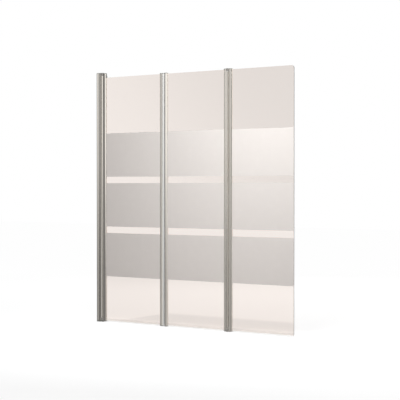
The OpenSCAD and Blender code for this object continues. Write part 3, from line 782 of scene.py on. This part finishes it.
def glass_profile(crown):
    """The outer ring with its slot, and the ring of the chamber.

    The crown is the corners of a side face between its two ends, each with x,
    distance from the middle and radius. The other side is its mirror image.
    """
    outer = [
        (NEAR, -SIDE, EDGE), *[(x, -y, radius) for x, y, radius in crown], (FAR, -SIDE, EDGE),
        (FAR, -SLOT_HALF, LIP), (SLOT_FLOOR, -SLOT_HALF, INNER),
        (SLOT_FLOOR, SLOT_HALF, INNER), (FAR, SLOT_HALF, LIP),
        (FAR, SIDE, EDGE), *crown[::-1], (NEAR, SIDE, EDGE),
    ]
    x0, x1, y = CHAMBER
    hole = [(x0, -y, INNER), (x0, y, INNER), (x1, y, INNER), (x1, -y, INNER)]
    return [soften(outer, 8), soften(hole)]


print("a glass profile is", round(FAR - NEAR, 1), "mm wide, its glass slot", 2 * SLOT_HALF, "mm")

# %% [markdown]
# The record has the hinge axes, and the frame has the box of every CAD piece.
# Reading places and heights from there keeps these surfaces where the CAD
# pieces are, without a second set of numbers.

# %% Places and heights
AXIS = {joint["name"]: joint["pos_m"][0] / MM for joint in record["behaviour"]["joints"]}
AXIS_OUT = record["behaviour"]["joints"][1]["pos_m"][1] / MM


def from_axis(rings, axis_x, to_wall=False):
    """Moves rings to a hinge axis in millimetres, mirrored if they face the wall."""
    if to_wall:
        return [ring[::-1] * (-1, 1) + (axis_x, 0) for ring in rings]
    return [ring + (axis_x, 0) for ring in rings]


def heights(node):
    """Lowest and highest point of a node in millimetres."""
    low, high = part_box(node)
    return low[2] / MM, high[2] / MM


print("hinge axes at", AXIS, "mm, fold axes", AXIS_OUT, "mm off the middle")

# %% [markdown]
# A barrel is a tube round the hinge axis with a web that leads to its profile.
# Its outline is most of a circle that runs over into the web, and a smaller
# circle inside it is the bore for the bushes. At the folds the axis lies beside
# the panels, so the web is slanted; at the wall it is straight.

# %% Barrels
BARREL, BORE = 6.4, 4.25
FOLD_ARC, FOLD_POINTS = (-8.3, 311), 60
PIVOT_ARC, PIVOT_POINTS = (30, 330), 56


def circle(centre, radius, points=48, clockwise=False):
    """Points at equal turns round a centre."""
    turn = np.linspace(0, 2 * np.pi, points, endpoint=False)
    if clockwise:
        turn = -turn
    return np.array(centre) + radius * np.column_stack([np.cos(turn), np.sin(turn)])


def fold_barrel(side):
    """Barrel at the fold axis behind (1) or in front (-1) with its slanted web."""
    centre = (0, abs(AXIS_OUT))
    turn = np.radians(np.linspace(*FOLD_ARC, FOLD_POINTS))
    ring = np.array(centre) + BARREL * np.column_stack([np.cos(turn), np.sin(turn)])
    web = [(NEAR, 2), (NEAR + 4, 8), (NEAR, abs(AXIS_OUT) - 1)]
    rings = [np.vstack([ring, web]), circle(centre, BORE, clockwise=True)]
    if side < 0:
        return [points[::-1] * (1, -1) for points in rings]
    return rings


def pivot_barrel():
    """Barrel in the middle of the panel with a straight web."""
    turn = np.radians(np.linspace(*PIVOT_ARC, PIVOT_POINTS))
    ring = BARREL * np.column_stack([np.cos(turn), np.sin(turn)])
    web = [(NEAR + 1.5, -BARREL / 2), (NEAR + 1.5, BARREL / 2)]
    return [np.vstack([ring, web]), circle((0, 0), BORE, clockwise=True)]


print("barrels are", 2 * BARREL, "mm thick with a bore of", 2 * BORE, "mm")

# %% [markdown]
# Now the five profiles. A barrel is shorter than its profile: it ends below and
# above the eyes of the hinge blocks, with room for the flange of each bush.

# %% Make the five profiles
EYE = 14
FLANGE_GAP = 1.3


def barrel_span(block):
    """From the bush flange above the lower hinge eye to the one below the upper."""
    low, high = heights(block + "_bottom")[0], heights(block + "_top")[1]
    return low + EYE + FLANGE_GAP, high - EYE - FLANGE_GAP


stiles = {
    "pivot_stile": ("wall_pivot", False, OUTWARD, pivot_barrel(), "pivot_block"),
    "hinge_stile_1": ("fold_1", True, NARROW, fold_barrel(1), "hinge_1_block"),
    "fold_stile_2": ("fold_1", False, INWARD, None, None),
    "hinge_stile_2": ("fold_2", True, BROAD, fold_barrel(-1), "hinge_2_block"),
    "fold_stile_3": ("fold_2", False, BROAD, None, None),
}
for node, (joint, to_wall, crown, barrel, block) in stiles.items():
    solid = carry(from_axis(glass_profile(crown), AXIS[joint], to_wall), *heights(node))
    if barrel:
        tube = carry(from_axis(barrel, AXIS[joint], to_wall), *barrel_span(block))
        solid = join(solid, tube)
    piece = add_piece(node + "_profile", solid, node)
    print(piece.name, len(piece.data.polygons), "faces")

# %% [markdown]
# ## Gaskets
# The glass never touches metal. It stands in a U of soft plastic that is pushed
# into the profile's slot, and the two lips of the U come out of the slot by a
# fraction of a millimetre as a fine cream line on each side of the pane.

# %% Make the gaskets
GASKET = [
    (13.95, -3.7, 0.3), (24.7, -3.7, 0.5), (24.7, -2.55, 0.5), (15.1, -2.55, 0.1),
    (15.1, 2.55, 0.1), (24.7, 2.55, 0.5), (24.7, 3.7, 0.5), (13.95, 3.7, 0.3),
]
gaskets = {
    "gasket_1_pivot": ("wall_pivot", False),
    "gasket_1_hinge": ("fold_1", True),
    "gasket_2_fold": ("fold_1", False),
    "gasket_2_hinge": ("fold_2", True),
    "gasket_3_fold": ("fold_2", False),
}
for node, (joint, to_wall) in gaskets.items():
    solid = carry(from_axis([soften(GASKET)], AXIS[joint], to_wall), *heights(node))
    piece = add_piece(node + "_lips", solid, node)
    print(piece.name, "is", round(piece.dimensions.z, 3), "m long")

# %% [markdown]
# ## The seals on the lower edges
# A clear extrusion is clipped on each pane from below. Two thin blades hang from
# it and drag on the rim of the bath, so that no water runs out under the pane.
# Its outline has rows of y, z and radius, and is carried along X.

# %% Make the bottom seals
WIPER = [
    (3.55, 7.95, 0.3), (3.55, 21, 0.35), (2.55, 21, 0.35), (2.55, 8.95, 0.1),
    (-2.55, 8.95, 0.1), (-2.55, 21, 0.35), (-3.55, 21, 0.35), (-3.55, 7.95, 0.3),
    (-1.576, 7.95, 0.2), (-2.55, 1.5, 0.1), (-1.85, 1.5, 0.1), (-0.069, 7.95, 0.03),
    (0.069, 7.95, 0.03), (1.85, 1.5, 0.1), (2.55, 1.5, 0.1), (1.576, 7.95, 0.2),
]
for node in ("bottom_seal_1", "bottom_seal_2", "bottom_seal_3"):
    low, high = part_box(node)
    solid = carry([soften(WIPER)], low[0] / MM, high[0] / MM, "x")
    piece = add_piece(node + "_wiper", solid, node)
    print(piece.name, "is", round(piece.dimensions.x, 3), "m long")

# %% [markdown]
# ## The panes
# A pane is cut, its edge is ground flat and both corners of the edge are rounded
# off, and only then is it toughened. What tells glass from film is that edge: it
# is a little rougher than the faces and shows the depth of the slab. The surface
# is one loop round the pane, repeated at a few depths and insets, and the two
# outermost loops are filled. First the loop: all four corners are cut by a
# hair, and the free upper corner is a real round.

# %% A loop round a pane
def rim(low, high, radii, points=9):
    """Loop round a rectangle seen from the front: points and outward directions.

    Each corner is a quarter circle; radii run from the lower left corner
    anticlockwise.
    """
    places, directions = [], []
    turn = np.linspace(0, np.pi / 2, points)
    corners = [(low[0], low[1]), (high[0], low[1]), (high[0], high[1]), (low[0], high[1])]
    inward = [(1, 1), (-1, 1), (-1, -1), (1, -1)]
    for quarter, (corner, into, radius) in enumerate(zip(corners, inward, radii)):
        angle = turn + (quarter + 2) * np.pi / 2
        away = np.column_stack([np.cos(angle), np.sin(angle)])
        places.append(np.array(corner) + radius * np.array(into) + radius * away)
        directions.append(away)
    return np.vstack(places), np.vstack(directions)


print("a loop has", len(rim((0, 0), (1, 1), (0, 0, 0, 0))[0]), "points")

# %% [markdown]
# The ground part is marked with an attribute, 1 on the edge and 0 on the two
# faces, which the glass finish reads. A second material on the edge would do
# too, but the attribute lets the frost fade in where the rounded corner starts.

# %% Make the panes
ARRIS = 0.6
STEPS = 5
CUT = 1.5
FREE_CORNER = 15


def pane(low, high, radii):
    """Vertices, faces and edge mark of a slab with rounded edges, in millimetres.

    At a turn t of the arris the loop lies ARRIS (1 - sin t) inside the rim and
    ARRIS (1 - cos t) below the face.
    """
    places, away = rim((low[0], low[2]), (high[0], high[2]), radii)
    turn = np.linspace(0, np.pi / 2, STEPS)
    inset = ARRIS * (1 - np.sin(turn))
    depth = ARRIS * (1 - np.cos(turn))
    inset = np.concatenate([inset, inset[::-1]])
    depth = np.concatenate([low[1] + depth, (high[1] - depth)[::-1]])
    flat = places[None] - away[None] * inset[:, None, None]
    y = np.broadcast_to(depth[:, None, None], flat.shape[:2] + (1,))
    grid = np.concatenate([flat[..., :1], y, flat[..., 1:]], axis=2)
    rows, around = grid.shape[:2]
    row, column = np.meshgrid(np.arange(rows - 1), np.arange(around), indexing="ij")
    here = row * around + column
    aside = row * around + (column + 1) % around
    sides = np.stack([here, here + around, aside + around, aside], axis=-1).reshape(-1, 4)
    front = np.arange(around)
    back = (rows - 1) * around + front[::-1]
    marked = np.ones((rows, around))
    marked[[0, -1]] = 0
    return grid.reshape(-1, 3) * MM, sides.tolist() + [front.tolist(), back.tolist()], marked


for node, radii in {
    "pane_1": (CUT, CUT, CUT, CUT),
    "pane_2": (CUT, CUT, CUT, CUT),
    "pane_3": (CUT, CUT, FREE_CORNER, CUT),
}.items():
    low, high = (np.array(corner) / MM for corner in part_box(node))
    vertices, faces, marked = pane(low, high, radii)
    piece = add_piece(node + "_glass", (vertices, faces), node)
    mark = piece.data.attributes.new("ground_edge", "FLOAT", "POINT")
    mark.data.foreach_set("value", marked.ravel().astype(np.float32))
    print(piece.name, [round(size, 4) for size in piece.dimensions], "m")

# %% [markdown]
# ## Moulded, cast and drilled parts
# These parts have shapes that no single outline gives, so each one starts from
# its CAD mesh. That mesh comes as loose triangles. Its points are merged, flat
# areas become single faces again, and every edge that is left gets a small
# round: about what a mould or a deburring wheel leaves.

# %% Soften the edges of a CAD part
SAME_PLACE = 0.00001
FLAT = math.radians(1)


def softened(node, radius):
    """A stand-in copied from a CAD part, with edges rounded by some millimetres."""
    mesh = frame["nodes"][node].data.copy()
    mesh.name = node + "_soft"
    mesh.materials.clear()
    work = bmesh.new()
    work.from_mesh(mesh)
    bmesh.ops.remove_doubles(work, verts=work.verts, dist=SAME_PLACE)
    bmesh.ops.dissolve_limit(work, angle_limit=FLAT, verts=work.verts, edges=work.edges)
    work.to_mesh(mesh)
    work.free()
    piece = stand_in(node + "_soft", mesh, node)
    edges = piece.modifiers.new("rounded_edges", "BEVEL")
    edges.width = radius * MM
    edges.segments = 3
    edges.limit_method = "ANGLE"
    edges.angle_limit = SHARP
    edges.use_clamp_overlap = True
    piece.modifiers.new("even_normals", "WEIGHTED_NORMAL").keep_sharp = False
    return piece


print("helper: softened; points closer than", SAME_PLACE / MM, "mm are merged")

# %% [markdown]
# The wall profile is drilled after it is extruded, so it belongs here too. Its
# edges are the sharpest, those of the moulded covers and cast blocks are softer.

# %% Soften the fittings
edge_radius = {
    "wall_channel": 0.25,
    "adjusting_profile": 0.2,
    "screw_covers": 0.5,
    "wall_cap": 0.5,
    "wall_foot": 0.5,
    "pivot_block_top": 0.5,
    "pivot_block_bottom": 0.5,
    "pivot_stile_caps": 0.4,
    "hinge_stile_1_caps": 0.4,
    "hinge_stile_2_caps": 0.4,
    "hinge_1_block_top": 0.5,
    "hinge_1_block_bottom": 0.5,
    "hinge_2_block_top": 0.5,
    "hinge_2_block_bottom": 0.5,
}
for node, radius in edge_radius.items():
    piece = softened(node, radius)
    print(piece.name, len(piece.data.polygons), "faces before rounding")

# %% [markdown]
# ## Finish
# The plain Standard view shows each colour about as it is written. The box of
# the finished screen is measured.

# %% Measure and finish
bpy.context.scene.view_settings.view_transform = "Standard"
low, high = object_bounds()
